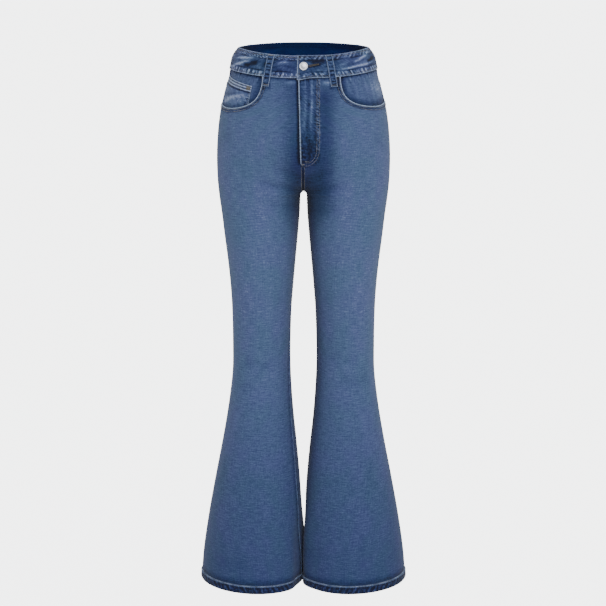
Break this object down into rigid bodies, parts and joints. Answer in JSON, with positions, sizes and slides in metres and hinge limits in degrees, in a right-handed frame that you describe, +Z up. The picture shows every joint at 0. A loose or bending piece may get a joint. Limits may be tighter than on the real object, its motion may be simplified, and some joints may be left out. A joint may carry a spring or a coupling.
{
  "type": "flared jeans",
  "caption": "High-waisted flared five-pocket jeans in blue denim, filled out with no wearer, open at the waist and both hems.",
  "frame": {"origin": "centre of the waist opening, level with its top edge at the side seams, where the wearer holds the garment up", "axes": "+Z up, the front faces -Y, the wearer's left side is +X"},
  "size_m": [0.4062, 0.2331, 1.0498],
  "materials": {
    "denim": "washed blue twill",
    "denim_band": "washed blue twill, abraded at the edges",
    "denim_pocket": "lighter washed twill",
    "denim_hem": "dark washed twill",
    "zip_tape": "woven navy tape",
    "button_metal": "satin silver",
    "thread": "pale grey and tan sewing thread"
  },
  "bodies": {
    "root": {"front_left": "denim", "front_right": "denim", "back_left": "denim", "back_right": "denim", "yoke_left": "denim", "yoke_right": "denim", "waistband": "denim_band", "pocket_facing_left": "denim_pocket", "pocket_facing_right": "denim_pocket", "coin_pocket": "denim_pocket", "back_pocket_left": "denim", "back_pocket_right": "denim", "fly_shield": "denim", "zip_tape": "zip_tape", "zip_slider": "button_metal", "zip_pull": "button_metal", "belt_loop_front_left": "denim", "belt_loop_front_right": "denim", "belt_loop_back_left": "denim", "belt_loop_back_right": "denim", "belt_loop_back_centre": "denim", "button": "button_metal", "hem_left": "denim_hem", "hem_right": "denim_hem"}
  },
  "joints": []
}
